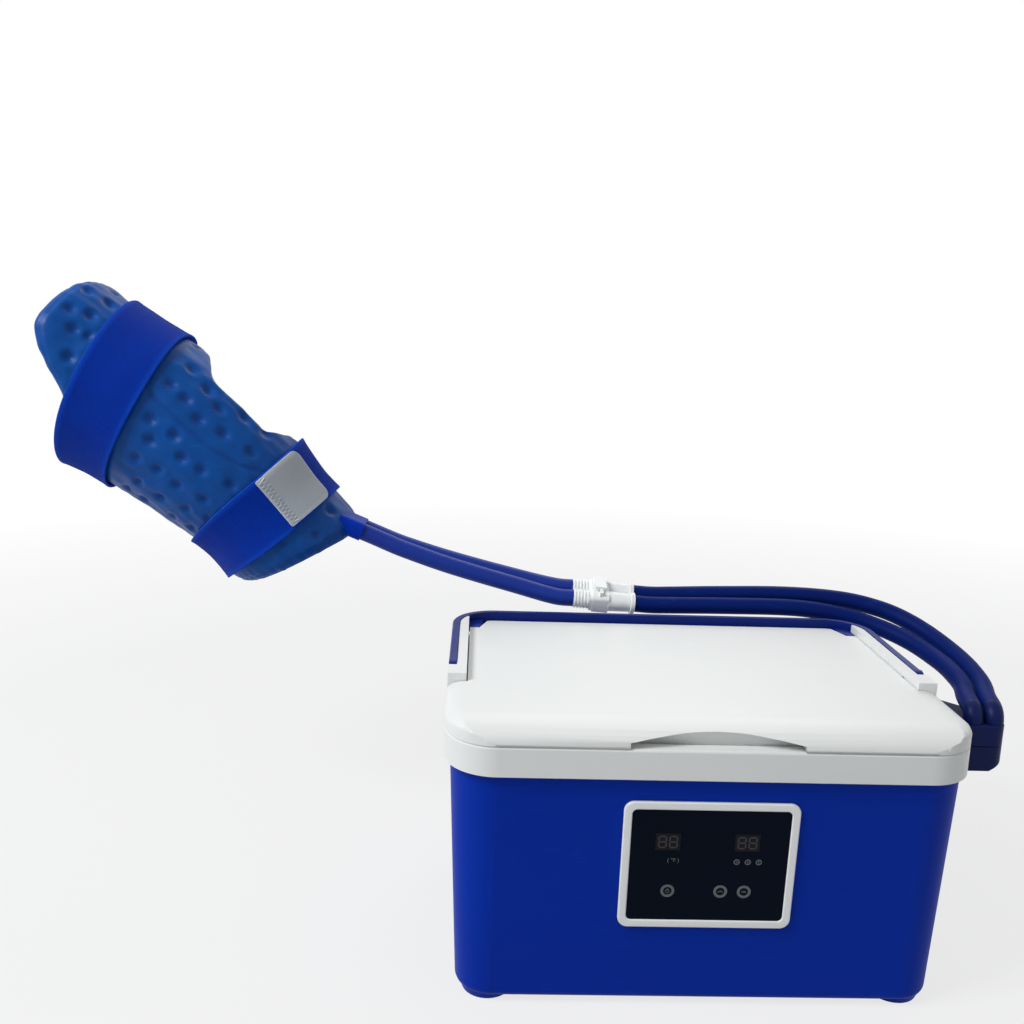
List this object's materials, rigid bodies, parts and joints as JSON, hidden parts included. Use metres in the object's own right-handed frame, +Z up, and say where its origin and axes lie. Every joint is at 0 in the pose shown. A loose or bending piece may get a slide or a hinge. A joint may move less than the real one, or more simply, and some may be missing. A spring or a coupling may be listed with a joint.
{
  "type": "hot cold therapy machine",
  "caption": "Insulated water cooler with a hinged lid, bail handle and front control panel; its twin hose feeds a strapped water pad through a quick coupling.",
  "frame": {"origin": "centre of the base on the surface it stands on", "axes": "+Z up, front panel towards -Y, hose outlet on the +X side, pad towards -X"},
  "size_m": [0.8374, 0.3864, 0.514],
  "materials": {
    "blue_plastic": "satin moulded royal blue",
    "white_plastic": "satin moulded white",
    "navy_plastic": "satin moulded navy",
    "liner_plastic": "smooth moulded off-white",
    "foam": "rigid cast foam",
    "black_rubber": "smooth black rubber",
    "steel": "bright steel",
    "dark_panel": "glossy near-black plastic",
    "board": "green lacquered board",
    "lamp_plastic": "clear lens",
    "button_plastic": "matt near-black plastic",
    "black_plastic": "matt black plastic",
    "soft_tube": "translucent silicone",
    "aluminium": "plain aluminium",
    "brass": "plain brass",
    "lead_sheath": "matt sheath",
    "hose_foam": "navy foam sleeve",
    "pad_hose_foam": "royal blue foam sleeve",
    "pad_fabric": "coated blue fabric",
    "strap_fabric": "elastic loop fabric",
    "grey_fabric": "grey hook fabric"
  },
  "bodies": {
    "cooler": {"body_shell": "blue_plastic", "insulation": "foam", "inner_liner": "liner_plastic", "collar": "white_plastic", "lid_hinge_pins": "steel", "handle_pins": "steel", "panel_bezel": "white_plastic", "panel_fascia": "dark_panel", "circuit_board": "board", "panel_screws": "steel", "left_display": "dark_panel", "right_display": "dark_panel", "status_lamps": "lamp_plastic", "button_switches": "black_plastic", "pump_strainer": "black_plastic", "pump_housing": "black_plastic", "pump_motor": "black_plastic", "supply_tube": "soft_tube", "return_tube": "soft_tube", "heater_plate": "aluminium", "temperature_probe": "brass", "probe_lead": "lead_sheath", "pump_lead": "lead_sheath", "heater_lead": "lead_sheath", "power_jack": "black_plastic", "jack_nut": "steel", "power_lead": "lead_sheath", "outlet_upper_shell": "navy_plastic", "outlet_lower_shell": "navy_plastic", "outlet_screws": "steel", "supply_elbow": "navy_plastic", "return_elbow": "navy_plastic", "duct_nuts": "liner_plastic", "supply_hose": "hose_foam", "return_hose": "hose_foam", "coupling_socket": "white_plastic", "shutoff_valves": "liner_plastic"},
    "lid": {"lid_shell": "white_plastic", "lid_insulation": "foam", "lid_liner": "liner_plastic", "lid_gasket": "black_rubber"},
    "handle": {"carry_handle": "navy_plastic"},
    "power_key": {"power_button": "button_plastic"},
    "up_key": {"up_button": "button_plastic"},
    "down_key": {"down_button": "button_plastic"},
    "latch": {"coupling_latch": "white_plastic"},
    "impeller": {"pump_impeller": "liner_plastic"},
    "pad": {"coupling_plug": "white_plastic", "plug_o_rings": "black_rubber", "pad_supply_hose": "pad_hose_foam", "pad_return_hose": "pad_hose_foam", "pad_port": "navy_plastic", "pad_bladder": "pad_fabric", "upper_strap": "strap_fabric", "lower_strap": "strap_fabric", "upper_hook_tab": "grey_fabric", "lower_hook_tab": "grey_fabric"}
  },
  "joints": [
    {"name": "lid_hinge", "type": "hinge", "parent": "cooler", "child": "lid", "pos_m": [0, 0.1175, 0.2125], "axis": [-1, 0, 0], "range_deg": [0, 90]},
    {"name": "handle_hinge", "type": "hinge", "parent": "cooler", "child": "handle", "pos_m": [0, -0.0085, 0.217], "axis": [1, 0, 0], "range_deg": [0, 100]},
    {"name": "power_press", "type": "slide", "parent": "cooler", "child": "power_key", "axis": [0, 0.9991, 0.0419], "range_m": [0, 0.0005], "stiffness_N_per_m": 600, "springref_m": -0.0005},
    {"name": "up_press", "type": "slide", "parent": "cooler", "child": "up_key", "axis": [0, 0.9991, 0.0419], "range_m": [0, 0.0005], "stiffness_N_per_m": 600, "springref_m": -0.0005},
    {"name": "down_press", "type": "slide", "parent": "cooler", "child": "down_key", "axis": [0, 0.9991, 0.0419], "range_m": [0, 0.0005], "stiffness_N_per_m": 600, "springref_m": -0.0005},
    {"name": "latch_press", "type": "slide", "parent": "cooler", "child": "latch", "axis": [-0.0657, 0.3355, -0.9398], "range_m": [0, 0.002], "stiffness_N_per_m": 400, "springref_m": -0.002},
    {"name": "coupling_pull", "type": "slide", "parent": "cooler", "child": "pad", "axis": [-0.9976, 0, 0.0698], "range_m": [0, 0.03]},
    {"name": "impeller_spin", "type": "hinge", "parent": "cooler", "child": "impeller", "pos_m": [0.07, 0.05, 0.05], "axis": [0, 0, 1], "continuous": true}
  ]
}
